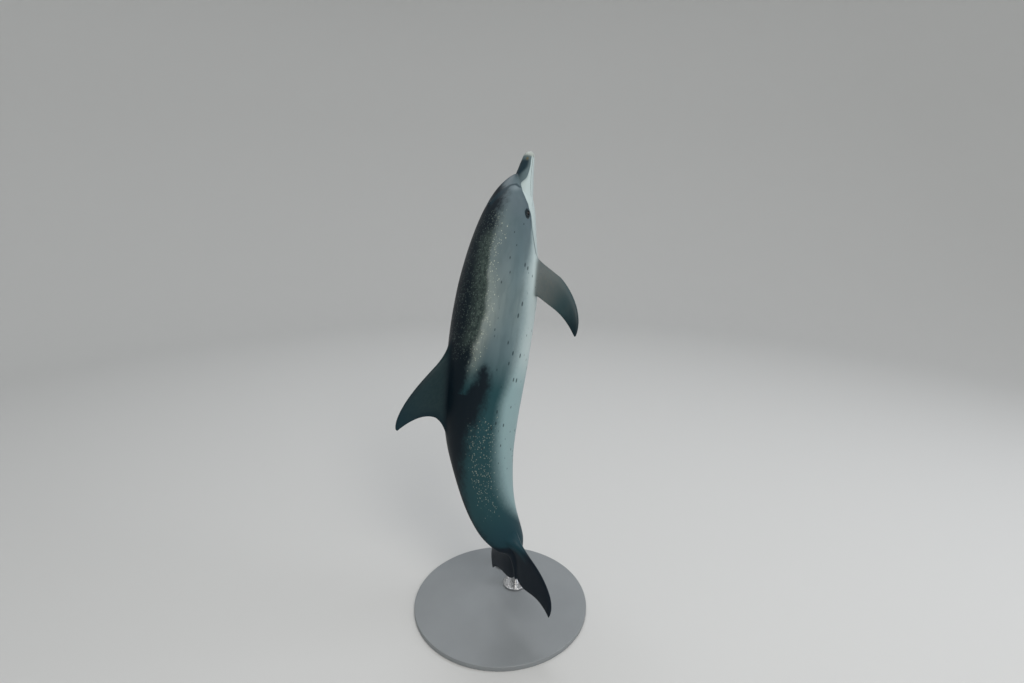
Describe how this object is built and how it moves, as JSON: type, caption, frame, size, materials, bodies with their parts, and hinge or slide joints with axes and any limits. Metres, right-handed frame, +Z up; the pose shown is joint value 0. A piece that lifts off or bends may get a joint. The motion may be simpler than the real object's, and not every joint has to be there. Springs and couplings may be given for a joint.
{
  "type": "atlantic spotted dolphin",
  "caption": "Life-size still model of an Atlantic spotted dolphin rising nose up, its tail curved, held on bent rods from a round flat display base.",
  "frame": {"origin": "centre of the underside of the round stand base", "axes": "+Z up from the base towards the beak; -Y towards the side from which the right flank is seen; the back faces -X and a little -Y"},
  "size_m": [0.88, 0.88, 2.238],
  "materials": {
    "skin": "smooth satin skin, dark back shading to pale belly, small spots and flecks",
    "skin_pale": "smooth satin pale skin",
    "eye": "wet gloss",
    "stand_base": "satin powder coat",
    "stand_steel": "satin"
  },
  "bodies": {
    "root": {"head": "skin", "lower_jaw": "skin_pale", "trunk": "skin", "tail_stock": "skin", "fluke_left": "skin", "fluke_right": "skin", "dorsal_fin": "skin", "flipper_left": "skin", "flipper_right": "skin", "eye_left": "eye", "eye_right": "eye", "stand_base": "stand_base", "stand_flange_upper": "stand_steel", "stand_flange_lower": "stand_steel", "stand_rod_upper": "stand_steel", "stand_rod_lower": "stand_steel"}
  },
  "joints": []
}
